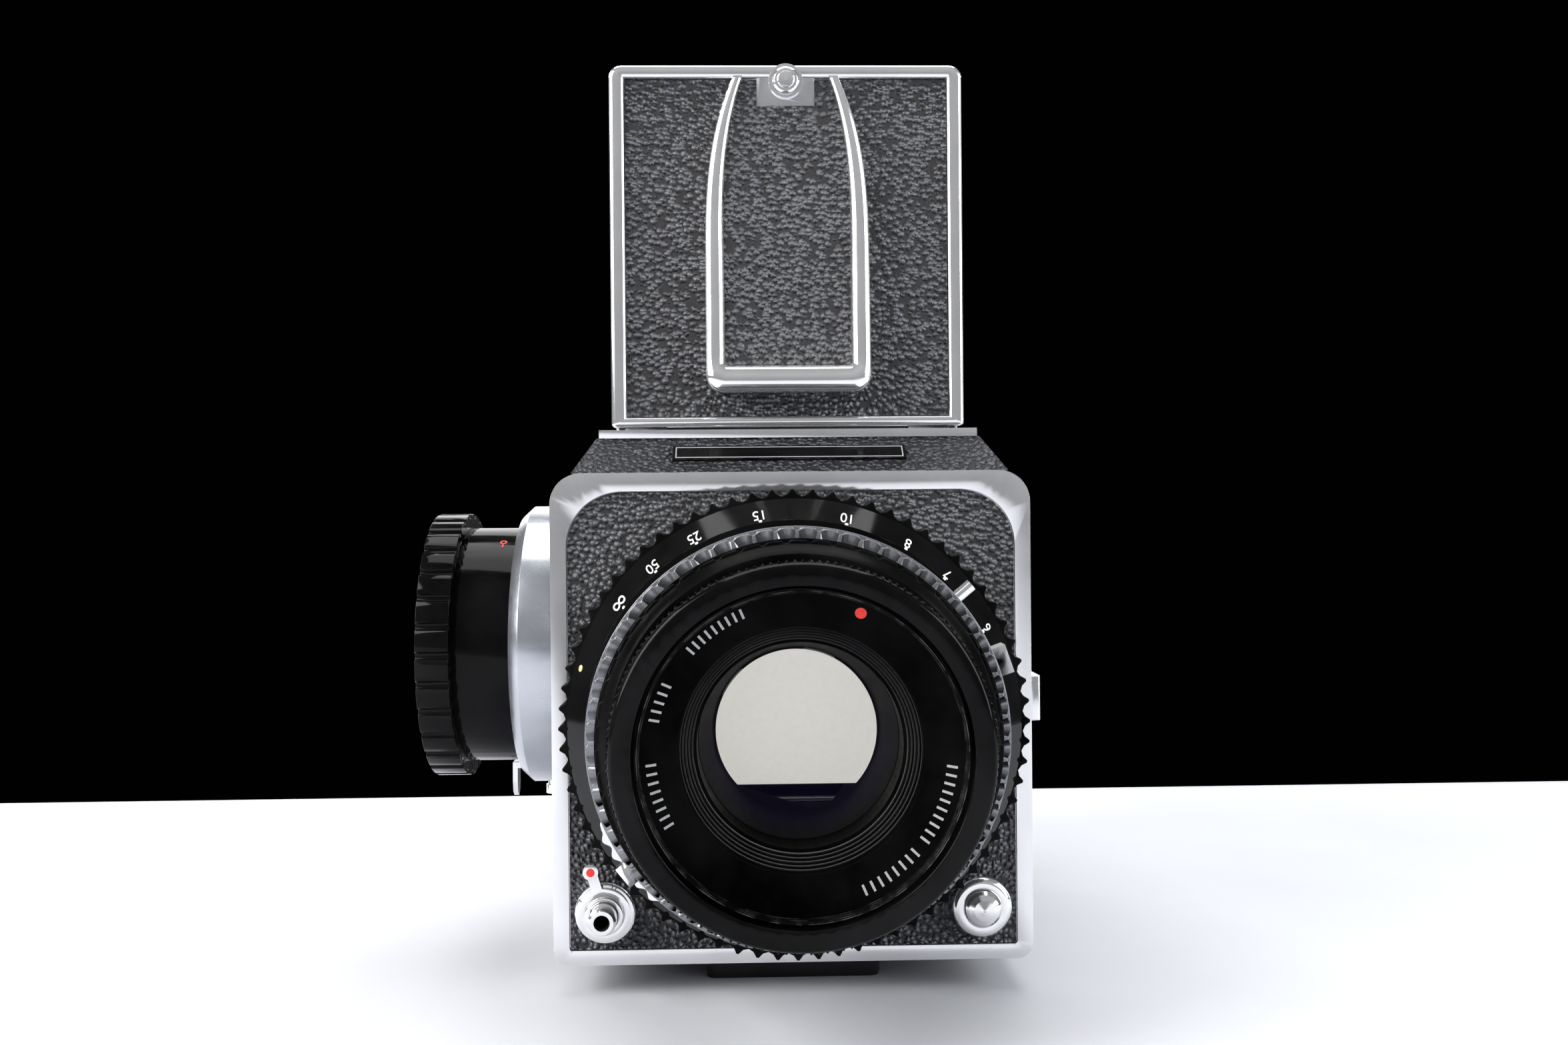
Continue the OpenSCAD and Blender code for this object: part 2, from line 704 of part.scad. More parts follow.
// Front glass
module front_element() {
    color([0.5, 0.6, 0.65, 0.35]) on_lens() rotate_extrude()
        polygon([[0, 31.5], [17, 31.5], [17, 35], [14, 36], [10, 37], [5, 37.7], [0, 38]]);
}

// Rear glass
module rear_element() {
    color([0.5, 0.6, 0.65, 0.35]) on_lens() rotate_extrude()
        polygon([[0, 3.6], [8, 3.9], [16, 4.6], [25, 5.6], [25, 8.4], [0, 8.4]]);
}

// Aperture leaves, standing at full opening
module iris_blades() {
    color([0.1, 0.1, 0.1]) on_lens() translate([0, 0, 16]) linear_extrude(0.6) difference() {
        circle(25);
        circle(16, $fn = 5);
    }
}

// Flash terminal peg
module sync_terminal() {
    color([0.75, 0.75, 0.76]) on_lens() rotate(40) translate([33, 0, 24.15]) rotate([0, 90, 0])
        cylinder(r = 1.1, h = 6.6);
}

// Lever on a thin ring at height z, its tab at the angle a
module ring_lever(z, a, w) {
    on_lens() union() {
        ring(30 + run, 33, z, z + 1);
        rotate(a) translate([32, -w / 2, z]) cube([7, w, 1]);
        rotate(a) translate([36.4, -w / 2, z]) cube([2.6, w, 24.6 - z]);
    }
}

// Flash synchronisation lever
module mode_lever() {
    color([0.6, 0.6, 0.6]) ring_lever(20.5, 19, 5);
}

// Depth of field preview lever
module preview_lever() {
    color([0.7, 0.7, 0.7]) ring_lever(21.7, 219, 4);
}

// Magazine shell with its film window, insert chamber and dark slide slot
module magazine_shell() {
    color([0.78, 0.78, 0.79]) difference() {
        upright(mag_y, mag_d) translate([0, base_z]) outline(body_w, body_h, 3, 6);
        translate([-41, mag_y + 3.7, 11.5]) cube([90, mag_d - 7.9, 81.5]);
        translate([-28, mag_y - 1, axis_z - 28]) cube([56, 6, 56]);
        translate([-33, mag_y + 1.3, axis_z - 31]) cube([90, 1.2, 62]);
        upright(mag_end - 0.8, 2) translate([0, base_z + 3]) outline(body_w - 6, body_h - 6, 1, 4);
        translate([-half - 1, mag_y + 3, 11]) cube([1.8, mag_d - 6, 82]);
    }
}

// Grained coverings of the magazine
module magazine_leather() {
    color([0.09, 0.09, 0.10]) union() {
        upright(mag_end - 0.8, 0.7) translate([0, base_z + 3.2])
            outline(body_w - 6.4, body_h - 6.4, 1, 4);
        translate([-half + 0.1, mag_y + 3.2, 11.2]) cube([0.7, mag_d - 6.4, 81.6]);
    }
}

// Film insert with two spool chambers and its end cover
module film_insert() {
    color([0.2, 0.2, 0.21]) difference() {
        union() {
            translate([-40.8, mag_y + 3.9, 11.7]) cube([86.2, mag_d - 8.3, 81.1]);
            translate([half - 0.2, mag_y + 3.9, 11.7]) cube([1, mag_d - 8.3, 81.1]);
        }
        for (z = [28, 78]) translate([-36, mag_y + 22, z]) rotate([0, 90, 0]) cylinder(r = 13, h = 74);
        translate([-36, mag_y + 3, 28]) cube([74, 12, 50]);
        translate([38, mag_y + 22, axis_z]) rotate([0, 90, 0]) cylinder(r = 2.5 + run, h = 10);
        translate([half - 1.2, mag_y + 22, axis_z]) rotate([0, 90, 0]) cylinder(r = 9.2, h = 3);
    }
}

// Dark slide with its pull handle
module dark_slide() {
    color([0.7, 0.7, 0.72]) union() {
        translate([-32.5, mag_y + 1.5, axis_z - 30.7]) cube([84, 0.8, 61.4]);
        translate([50, mag_y + 0.6, axis_z - 20]) difference() {
            cube([10, 2.6, 40]);
            translate([2.5, -1, 4]) cube([5, 5, 32]);
        }
    }
}

// Turning key that locks the film insert
module insert_key() {
    color([0.75, 0.75, 0.76]) translate([0, mag_y + 22, axis_z]) rotate([0, 90, 0]) union() {
        cylinder_at(2.5, 39, half - 1);
        cylinder_at(8.8, half - 1.1, half + 0.7);
        translate([-8, -1.2, half + 0.6]) cube([16, 2.4, 3]);
    }
}

body_shell();
front_leather();
side_leathers();
base_plate();
roof_leather();
name_plate();
mirror_box();
mirror_pin();
mirror();
top_flap();
bottom_flap();
screen_frame();
focusing_screen();
lens_mount_ring();
release_collar();
release_button();
time_lever();
lens_release_collar();
lens_release_button();
winder_boss();
knob_hub();
knob_rim();
drive_shaft();
drive_gear();
idler_gear();
crank_arm();
crank_handle();
crank_catch();
accessory_rail();
strap_lugs();
tripod_foot();
foot_screws();
finder_base();
hood_lid();
lid_leather();
lid_latch();
left_wing();
right_wing();
rear_panel();
magnifier_arm();
magnifier_lens();
lens_barrel();
focus_ring();
distance_band();
front_barrel();
aperture_ring();
shutter_ring();
front_tube();
name_ring();
front_element();
rear_element();
iris_blades();
sync_terminal();
mode_lever();
preview_lever();
magazine_shell();
magazine_leather();
film_insert();
dark_slide();
insert_key();
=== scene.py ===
import json
import math

import bmesh
import bpy
from mathutils import Matrix, Vector


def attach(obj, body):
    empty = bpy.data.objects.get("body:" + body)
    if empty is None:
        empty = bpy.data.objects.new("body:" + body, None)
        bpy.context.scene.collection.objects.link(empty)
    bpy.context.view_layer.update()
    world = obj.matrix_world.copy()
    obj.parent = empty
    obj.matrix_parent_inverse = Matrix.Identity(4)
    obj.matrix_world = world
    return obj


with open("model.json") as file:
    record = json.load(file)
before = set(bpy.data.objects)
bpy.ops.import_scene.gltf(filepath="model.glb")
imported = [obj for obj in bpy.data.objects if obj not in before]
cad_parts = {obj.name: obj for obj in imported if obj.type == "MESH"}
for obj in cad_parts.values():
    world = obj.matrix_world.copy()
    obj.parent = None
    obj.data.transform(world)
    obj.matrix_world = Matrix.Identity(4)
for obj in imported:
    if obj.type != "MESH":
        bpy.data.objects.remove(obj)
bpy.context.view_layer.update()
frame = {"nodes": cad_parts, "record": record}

NODES = frame["nodes"]
MM = 0.001

# Frame of the lens: axis height, and the casing's front face
AXIS_Z = 53 * MM
FRONT_Y = -30 * MM


# ---------------------------------------------------------------- materials


class Graph:
    """A node material under construction: principled shader plus helper calls."""

    def __init__(self, name):
        self.mat = bpy.data.materials.new(name)
        self.mat.use_nodes = True
        self.tree = self.mat.node_tree
        self.nodes = self.tree.nodes
        self.bsdf = self.nodes["Principled BSDF"]
        self.place = self.add("ShaderNodeTexCoord").outputs["Object"]

    def add(self, kind, **props):
        node = self.nodes.new(kind)
        for key, value in props.items():
            setattr(node, key, value)
        return node

    def link(self, source, target):
        self.tree.links.new(source, target)

    def set(self, **values):
        for key, value in values.items():
            self.bsdf.inputs[key.replace("_", " ")].default_value = value
        return self

    def noise(self, scale, detail=4.0, rough=0.55, stretch=None):
        node = self.add("ShaderNodeTexNoise")
        node.inputs["Scale"].default_value = scale
        node.inputs["Detail"].default_value = detail
        node.inputs["Roughness"].default_value = rough
        self.link(self.mapped(stretch), node.inputs["Vector"])
        return node.outputs["Fac"]

    def mapped(self, stretch):
        if stretch is None:
            return self.place
        node = self.add("ShaderNodeMapping")
        node.inputs["Scale"].default_value = stretch
        self.link(self.place, node.inputs["Vector"])
        return node.outputs["Vector"]

    def span(self, value, low, high, to_low, to_high):
        node = self.add("ShaderNodeMapRange")
        for key, number in (
            ("From Min", low),
            ("From Max", high),
            ("To Min", to_low),
            ("To Max", to_high),
        ):
            node.inputs[key].default_value = number
        self.link(value, node.inputs["Value"])
        return node.outputs["Result"]

    def math(self, operation, a, b):
        node = self.add("ShaderNodeMath", operation=operation)
        for socket, item in zip(node.inputs, (a, b)):
            if isinstance(item, (int, float)):
                socket.default_value = item
            else:
                self.link(item, socket)
        return node.outputs["Value"]

    def mix_colour(self, factor, dark, light):
        node = self.add("ShaderNodeMix", data_type="RGBA")
        self.link(factor, node.inputs["Factor"])
        node.inputs["A"].default_value = (*dark, 1)
        node.inputs["B"].default_value = (*light, 1)
        self.link(node.outputs["Result"], self.bsdf.inputs["Base Color"])
        return node

    def worn_edges(self, radius, low, high):
        """1 along convex edges, 0 on flat faces; the caller breaks it up with noise."""
        bevel = self.add("ShaderNodeBevel", samples=4)
        bevel.inputs["Radius"].default_value = radius
        geometry = self.add("ShaderNodeNewGeometry")
        dot = self.add("ShaderNodeVectorMath", operation="DOT_PRODUCT")
        self.link(bevel.outputs["Normal"], dot.inputs[0])
        self.link(geometry.outputs["Normal"], dot.inputs[1])
        edge = self.math("SUBTRACT", 1.0, dot.outputs["Value"])
        return self.span(edge, low, high, 0, 1)

    def rough(self, value, low, high):
        self.link(self.span(value, 0.3, 0.7, low, high), self.bsdf.inputs["Roughness"])

    def bump(self, height, strength, distance):
        node = self.add("ShaderNodeBump")
        node.inputs["Strength"].default_value = strength
        node.inputs["Distance"].default_value = distance
        self.link(height, node.inputs["Height"])
        self.link(node.outputs["Normal"], self.bsdf.inputs["Normal"])
        return node


def chrome(name, tone, low, high, grain=0.06, metal=1.0):
    """Plated metal: fine scratches, cloudy roughness and small pits."""
    g = Graph(name).set(Metallic=metal)
    scratches = g.noise(2600, 3, 0.6, (1, 0.15, 1))
    clouds = g.noise(110, 5)
    dark = tuple(c * 0.93 for c in tone)
    g.mix_colour(g.span(clouds, 0.35, 0.65, 0, 1), dark, tone)
    g.rough(g.math("ADD", g.math("MULTIPLY", scratches, 0.4), g.math("MULTIPLY", clouds, 0.6)), low, high)
    g.bump(g.noise(2600, 2, 0.7), grain, 0.00002)
    return g.mat


def leather(name):
    """Black pebbled covering: rounded grains parted by creases, glinting on their crowns; the colour paints
    shade into the creases and light onto the crowns.
    """
    g = Graph(name).set(Specular_IOR_Level=0.95)
    warp = g.add("ShaderNodeTexNoise")
    warp.inputs["Scale"].default_value = 700
    warp.inputs["Detail"].default_value = 2
    g.link(g.place, warp.inputs["Vector"])
    shift = g.add("ShaderNodeVectorMath", operation="SCALE")
    shift.inputs["Scale"].default_value = 0.0006
    g.link(warp.outputs["Color"], shift.inputs[0])
    moved = g.add("ShaderNodeVectorMath", operation="ADD")
    g.link(g.place, moved.inputs[0])
    g.link(shift.outputs["Vector"], moved.inputs[1])
    cell = g.add("ShaderNodeTexVoronoi", feature="F1")
    cell.inputs["Scale"].default_value = 900
    cell.inputs["Randomness"].default_value = 0.9
    g.link(moved.outputs["Vector"], cell.inputs["Vector"])
    dome = g.span(g.math("POWER", cell.outputs["Distance"], 1.8), 0.0, 0.5, 1, 0)
    fine = g.noise(4200, 3, 0.6)
    height = g.math("ADD", g.math("MULTIPLY", dome, 0.93), g.math("MULTIPLY", fine, 0.07))
    patches = g.span(g.noise(45, 3), 0.3, 0.7, 0.75, 1.0)
    shade = g.math("MULTIPLY", dome, patches)
    # Painted shade and light: this mask darkens the creases and lightens the crowns in colour, standing in
    # for the grain's relief; it also raises the crowns' gloss.
    crown_gloss_and_painted_shade = g.span(shade, 0.08, 0.9, 0, 1)
    g.mix_colour(crown_gloss_and_painted_shade, (0.006, 0.006, 0.008), (0.088, 0.094, 0.118))
    g.link(g.span(crown_gloss_and_painted_shade, 0, 0.6, 0.45, 1.0), g.bsdf.inputs["Specular IOR Level"])
    rough = g.math("ADD", g.math("MULTIPLY", dome, -0.14), g.span(g.noise(60, 4), 0.3, 0.7, 0.36, 0.44))
    g.link(rough, g.bsdf.inputs["Roughness"])
    g.bump(height, 1.0, 0.0026)
    return g.mat


def paint(name, tone, low, high, wear=0.0, grain=0.1, coat=0.0, shine=0.4):
    """Lacquer or anodising: dust-fine grain, uneven gloss and rubbed edges."""
    g = Graph(name).set(Specular_IOR_Level=shine, Coat_Weight=coat, Coat_Roughness=0.08)
    clouds = g.noise(70, 5)
    smears = g.noise(500, 3, 0.6, (1, 0.2, 1))
    light = tuple(min(1, c * 1.35 + 0.004) for c in tone)
    mix = g.mix_colour(g.span(clouds, 0.35, 0.65, 0, 1), tone, light)
    if wear:
        patches = g.span(g.noise(400, 4), 0.45, 0.62, 0, wear)
        rub = g.math("MULTIPLY", g.worn_edges(0.0003, 0.06, 0.35), patches)
        worn = g.add("ShaderNodeMix", data_type="RGBA")
        g.link(rub, worn.inputs["Factor"])
        g.link(mix.outputs["Result"], worn.inputs["A"])
        worn.inputs["B"].default_value = (0.45, 0.44, 0.42, 1)
        g.link(worn.outputs["Result"], g.bsdf.inputs["Base Color"])
        g.link(g.math("MULTIPLY", rub, 0.8), g.bsdf.inputs["Metallic"])
    g.rough(g.math("ADD", g.math("MULTIPLY", clouds, 0.4), g.math("MULTIPLY", smears, 0.6)), low, high)
    g.bump(g.noise(3000, 2, 0.7), grain, 0.00003)
    return g.mat


def satin(name, tone):
    """Dark anodised metal with a silky sheen and fine turning marks."""
    g = Graph(name).set(Metallic=0.7)
    marks = g.noise(2400, 3, 0.6, (1, 0.1, 1))
    dark = tuple(c * 0.9 for c in tone)
    g.mix_colour(g.span(g.noise(90, 4), 0.35, 0.65, 0, 1), dark, tone)
    g.rough(marks, 0.24, 0.36)
    g.bump(marks, 0.08, 0.00002)
    return g.mat


def thin_glass(name, tint, gloss, shine=0.08, rim=0.9):
    """Coated glass seen as a thin layer: clear, with a tinted reflection."""
    g = Graph(name)
    g.nodes.remove(g.bsdf)
    clear = g.add("ShaderNodeBsdfTransparent")
    clear.inputs["Color"].default_value = (*tint, 1)
    glossy = g.add("ShaderNodeBsdfGlossy")
    glossy.inputs["Color"].default_value = (*gloss, 1)
    g.link(g.span(g.noise(300, 3), 0.3, 0.7, 0.01, 0.05), glossy.inputs["Roughness"])
    fresnel = g.add("ShaderNodeLayerWeight")
    fresnel.inputs["Blend"].default_value = 0.22
    mix = g.add("ShaderNodeMixShader")
    g.link(g.span(fresnel.outputs["Fresnel"], 0, 1, shine, rim), mix.inputs["Fac"])
    g.link(clear.outputs["BSDF"], mix.inputs[1])
    g.link(glossy.outputs["BSDF"], mix.inputs[2])
    g.link(mix.outputs["Shader"], g.nodes["Material Output"].inputs["Surface"])
    return g.mat


def glowing(name, tone, strength):
    """Ground surface lit from behind, with that light painted in as its own glow, mottled by its fine
    grain.
    """
    g = Graph(name).set(Roughness=0.6, Emission_Strength=strength)
    mix = g.mix_colour(g.span(g.noise(1500, 4), 0.3, 0.7, 0, 1), tuple(c * 0.96 for c in tone), tone)
    g.link(mix.outputs["Result"], g.bsdf.inputs["Emission Color"])
    return g.mat


def ink(name, tone, strength=0.0):
    """Paint filled into engraved marks; a glow of the given strength paints light onto them."""
    g = Graph(name).set(Emission_Strength=strength, Emission_Color=(*tone, 1))
    g.mix_colour(g.span(g.noise(2500, 3), 0.3, 0.7, 0, 1), tuple(c * 0.8 for c in tone), tone)
    g.rough(g.noise(900, 3), 0.4, 0.6)
    return g.mat


MATS = {
    "chrome_case": chrome("chrome_case", (0.80, 0.80, 0.82), 0.10, 0.17, metal=0.86),
    # The winder boss gets a darker, bluer, rougher copy of the case chrome: painted shade on the same
    # plating.
    "chrome_boss": chrome("chrome_boss", (0.52, 0.54, 0.59), 0.20, 0.30, metal=0.9),
    "chrome_bright": chrome("chrome_bright", (0.86, 0.86, 0.87), 0.06, 0.14, 0.03, 0.88),
    "leather": leather("leather"),
    "black_paint": paint("black_paint", (0.006, 0.006, 0.0065), 0.30, 0.50, 0.4, shine=0.25),
    "black_gloss": paint("black_gloss", (0.0012, 0.0012, 0.0014), 0.06, 0.12, 0.2, 0.02, shine=0.10),
    "matte_black": paint("matte_black", (0.004, 0.004, 0.004), 0.65, 0.85, shine=0.15),
    "steel": chrome("steel", (0.62, 0.62, 0.63), 0.22, 0.42, 0.1),
    "aluminium": chrome("aluminium", (0.70, 0.70, 0.71), 0.34, 0.50, 0.12),
    "brass": chrome("brass", (0.72, 0.55, 0.26), 0.22, 0.40, 0.1),
    "lens_black": paint("lens_black", (0.0010, 0.0010, 0.0012), 0.20, 0.30, 0.3, shine=0.035),
    "groove_black": paint("groove_black", (0.010, 0.010, 0.011), 0.14, 0.22, shine=0.9),
    "lens_satin": satin("lens_satin", (0.24, 0.245, 0.265)),
    "lens_matte": paint("lens_matte", (0.0004, 0.0004, 0.0005), 0.30, 0.45, shine=0.015),
    "lever_grey": paint("lever_grey", (0.42, 0.42, 0.44), 0.30, 0.45),
    "coated_glass": thin_glass("coated_glass", (0.90, 0.90, 0.89), (0.22, 0.16, 0.5), 0.006, 0.06),
    "clear_glass": thin_glass("clear_glass", (0.93, 0.95, 0.94), (1, 1, 1)),
    "mirror_glass": chrome("mirror_glass", (0.9, 0.92, 0.93), 0.02, 0.05, 0.01),
    # The ground glass and the pupil glow with painted light; neither is a lamp.
    "ground_glass": glowing("ground_glass", (0.72, 0.76, 0.72), 0.12),
    "pupil_glow": glowing("pupil_glow", (0.82, 0.80, 0.76), 0.74),
    # White, grey and red inks glow a little: painted light on the marks, not lamps.
    "white_ink": ink("white_ink", (0.80, 0.80, 0.78), 0.25),
    "grey_ink": ink("grey_ink", (0.42, 0.42, 0.43), 0.10),
    "red_ink": ink("red_ink", (0.75, 0.03, 0.02), 0.25),
    "yellow_ink": ink("yellow_ink", (0.65, 0.55, 0.25)),
    "dark_ink": ink("dark_ink", (0.02, 0.02, 0.02)),
}


def dress():
    """Every CAD node takes the material of its slot in the record."""
    for part in frame["record"]["subparts"]:
        node = NODES.get(part["node"])
        if node is None:
            continue
        node.data.materials.clear()
        node.data.materials.append(MATS[part["material_slot"]])


dress()
# The focusing screen takes the glowing ground glass: painted light from behind.
NODES["focusing_screen"].data.materials[0] = MATS["ground_glass"]
NODES["name_ring"].data.materials[0] = MATS["lens_matte"]
NODES["front_barrel"].data.materials[0] = MATS["lens_matte"]
NODES["mode_lever"].data.materials[0] = MATS["lever_grey"]
# Painted shade: the boss takes the darker copy of the chrome.
NODES["winder_boss"].data.materials[0] = MATS["chrome_boss"]


def blacken_bore(name, radius):
    """Second material, dull black, on the faces of a lens node inside the radius."""
    mesh = NODES[name].data
    mesh.materials.append(MATS["lens_matte"])
    for face in mesh.polygons:
        x, _, z = face.center
        inward = (x * face.normal.x + (z - AXIS_Z) * face.normal.z) < 0
        if math.hypot(x, z - AXIS_Z) < radius and inward:
            face.material_index = 1


blacken_bore("front_tube", 29 * MM)


def soften(width, *names, segments=3, angle=35):
    """Rounds the sharp edges of CAD nodes with a bevel modifier."""
    for name in names:
        node = NODES[name]
        weld = node.modifiers.new("weld", "WELD")
        weld.merge_threshold = 0.000001
        bevel = node.modifiers.new("bevel", "BEVEL")
        bevel.width = width
        bevel.segments = segments
        bevel.limit_method = "ANGLE"
        bevel.angle_limit = math.radians(angle)
        bevel.use_clamp_overlap = True
        bevel.harden_normals = True
        for face in node.data.polygons:
            face.use_smooth = True


def smooth(*names, angle=35):
    """Smooth shading across faces that meet below the angle."""
    for name in names:
        NODES[name].data.shade_smooth()
        NODES[name].data.set_sharp_from_angle(angle=math.radians(angle))


smooth(*NODES.keys())
soften(0.0007, "body_shell", "magazine_shell", "winder_boss", "tripod_foot")
soften(0.0006, "hood_lid")
soften(0.0005, "knob_rim", "knob_hub", "accessory_rail", "finder_base")
soften(0.00025, "release_collar", "lens_release_collar", "time_lever", "mode_lever", "preview_lever",
       "insert_key", "dark_slide", "front_tube", "lid_latch", "strap_lugs", "crank_arm", "crank_handle")
soften(0.0002, "focus_ring", "aperture_ring", "shutter_ring", segments=2)


# ------------------------------------------------------------ mesh helpers


def place(obj, material, body):
    """Links a finished piece, gives it its material and ties it to its body."""
    if obj.name not in bpy.context.scene.collection.all_objects:
        bpy.context.scene.collection.objects.link(obj)
    obj.data.materials.clear()
    obj.data.materials.append(MATS[material])
    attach(obj, body)
    return obj


def mesh_piece(name, verts, faces, material, body, flat=False, angle=35):
    """A welded mesh of points in metres, smooth below the angle unless flat."""
    mesh = bpy.data.meshes.new(name)
    mesh.from_pydata(verts, [], faces)
    mesh.validate()
    bm = bmesh.new()
    bm.from_mesh(mesh)
    bmesh.ops.remove_doubles(bm, verts=bm.verts, dist=1e-7)
    bmesh.ops.recalc_face_normals(bm, faces=bm.faces)
    bm.to_mesh(mesh)
    bm.free()
    if not flat:
        mesh.shade_smooth()
        mesh.set_sharp_from_angle(angle=math.radians(angle))
    return place(bpy.data.objects.new(name, mesh), material, body)


def lathe(profile, steps=96, start=0.0, sweep=2 * math.pi):
    """Vertices and faces of a profile of (radius, height) turned about local z."""
    closed = abs(sweep - 2 * math.pi) < 1e-9
    rows = steps if closed else steps + 1
    verts, faces = [], []
    for i in range(rows):
        a = start + sweep * i / steps
        verts += [(r * math.cos(a), r * math.sin(a), h) for r, h in profile]
    n = len(profile)
    for i in range(steps):
        j = (i + 1) % rows
        for k in range(n):
            m = (k + 1) % n
            faces.append((i * n + k, j * n + k, j * n + m, i * n + m))
    if not closed:
        faces += [tuple(range(n)), tuple(reversed(range((rows - 1) * n, rows * n)))]
    return verts, faces


# Local frames: lens, threaded release button (both z forward) and winding knob (z outward)
TO_FRONT = Matrix.Rotation(math.radians(90), 4, "X")
LENS = Matrix.Translation((0, FRONT_Y, AXIS_Z)) @ TO_FRONT
BUTTON_X, BUTTON_Z = -35.7 * MM, 16 * MM
BUTTON = Matrix.Translation((BUTTON_X, FRONT_Y, BUTTON_Z)) @ TO_FRONT
SIDE_X, KNOB_Y, KNOB_Z = -45.5 * MM, 6 * MM, 64 * MM
KNOB = Matrix.Translation((SIDE_X, KNOB_Y, KNOB_Z)) @ Matrix.Rotation(math.radians(-90), 4, "Y")

BOX_FACES = [(0, 3, 2, 1), (4, 5, 6, 7), (0, 1, 5, 4), (1, 2, 6, 5), (2, 3, 7, 6), (3, 0, 4, 7)]


def box_points(x0, x1, y0, y1, z0, z1):
    """Corners of a box in the order that BOX_FACES expects."""
    return [(x, y, z) for z in (z0, z1) for x, y in ((x0, y0), (x1, y0), (x1, y1), (x0, y1))]


def moved(frame_matrix, verts):
    """Millimetre points of a local frame, as metre points of the shared frame."""
    return [frame_matrix @ (Vector(v) * MM) for v in verts]


def turned(name, matrix, profile, material, body, slot, **extra):
    """A profile of (radius, height) turned about the local z of the matrix."""
    verts, faces = lathe(profile, **extra)
    return mesh_piece(name, moved(matrix, verts), faces, material, body)


def text_piece(name, words, size, thickness, matrix, material, body, squeeze=1.0):
    """Raised lettering as a mesh; matrix places its centre, x along the line and y up."""
    curve = bpy.data.curves.new(name, "FONT")
    curve.body = words
    curve.size = size * MM
    curve.extrude = thickness * MM
    curve.align_x = "CENTER"
    curve.align_y = "CENTER"
    source = bpy.data.objects.new(name + "_source", curve)
    bpy.context.scene.collection.objects.link(source)
    bpy.context.view_layer.update()
    mesh = bpy.data.meshes.new_from_object(source.evaluated_get(bpy.context.evaluated_depsgraph_get()))
    bpy.data.objects.remove(source)
    mesh.transform(matrix @ Matrix.Diagonal((squeeze, 1, 1, 1)))
    return place(bpy.data.objects.new(name, mesh), material, body)


def on_cone(angle, radius, depth, lean, inward):
    """Frame on a conical face of the lens: y points to the axis or away, z out of the face."""
    a = math.radians(angle)
    out = Vector((math.cos(a), math.sin(a), 0))
    normal = (out * math.sin(lean) + Vector((0, 0, 1)) * math.cos(lean)).normalized()
    slope = (out * math.cos(lean) - Vector((0, 0, 1)) * math.sin(lean)).normalized()
    up = -slope if inward else slope
    right = up.cross(normal)
    turn = Matrix((right, up, normal)).transposed().to_4x4()
    where = Matrix.Translation((out * radius + Vector((0, 0, depth))) * MM)
    return LENS @ where @ turn


# ------------------------------------------------- marks and small pieces

# Slope of the distance band's cone
BAND_LEAN = math.atan2(5.5, 3.8)


def distance_scale():
    """Distances on the conical band, read from behind the camera: angle and number."""
    marks = {144: "∞", 131: "50", 117.6: "25", 99.3: "15", 75.8: "10", 58.3: "8", 45: "7", 27.2: "6"}
    for i, (angle, words) in enumerate(marks.items()):
        matrix = on_cone(angle, 38.35, 18.05, BAND_LEAN, True)
        size = 5.6 if words == "∞" else 4.1
        text_piece(f"distance_{i}", words, size, 0.04, matrix, "white_ink", "focuser", 0.64)
        verts, faces = lathe([(0.0, 0.0), (0.32, 0.0), (0.32, 0.08), (0.0, 0.1)], steps=16)
        dot = on_cone(angle, 37.2, 19.71, BAND_LEAN, True)
        mesh_piece(f"distance_dot_{i}", moved(dot, verts), faces, "white_ink", "focuser")


def ring_ticks():
    """Plain index lines in groups on the inner ring, and a red dot."""
    lean = -math.atan2(2.4, 6.0)
    radius, depth = 24.1, 44.25
    line = box_points(-0.2, 0.2, -0.9, 0.9, 0.0, 0.04)
    # First and last angle of each group, and its count of lines
    groups = ((113, 137, 9), (153, 167, 5), (184, 208, 8), (294, 318, 8), (324, 354, 10))
    for k, (first, last, count) in enumerate(groups):
        for i in range(count):
            angle = first + (last - first) * i / (count - 1)
            spot = on_cone(angle, radius, depth, lean, False)
            mesh_piece(f"ring_tick_{k}_{i}", moved(spot, line), BOX_FACES,
                       "grey_ink", "lens_front", flat=True)
    verts, faces = lathe([(0.0, 0.0), (0.95, 0.0), (0.95, 0.06), (0.0, 0.08)], steps=24)
    dot = on_cone(66.7, radius, depth, lean, False)
    mesh_piece("ring_dot", moved(dot, verts), faces, "red_ink", "lens_front")


def front_serration():
    """Fine ribs round the front tube's outer edge, and thread grooves inside."""
    verts, faces = [], []
    count, root, crest, back, front = 150, 30.45, 30.85, 44.5, 49.2
    prism = ((0, 1, 4, 3), (1, 2, 5, 4), (0, 2, 1), (3, 4, 5), (2, 0, 3, 5))
    for i in range(count):
        a = 2 * math.pi * i / count
        b = 2 * math.pi * (i + 0.5) / count
        base = len(verts)
        for d in (back, front):
            for angle, r in ((a, root), ((a + b) / 2, crest), (b, root)):
                verts.append((r * math.cos(angle), r * math.sin(angle), d))
        faces += [tuple(base + corner for corner in face) for face in prism]
    mesh_piece("front_ribs", moved(LENS, verts), faces, "lens_black", "lens_front", flat=True)
    for k in range(3):
        d = 46.4 + k * 1.1
        ridge = [(26.05, d), (25.7, d + 0.2), (25.7, d + 0.45), (26.05, d + 0.65)]
        turned(f"filter_groove_{k}", LENS, ridge, "lens_black", "lens_front", "lens_black")


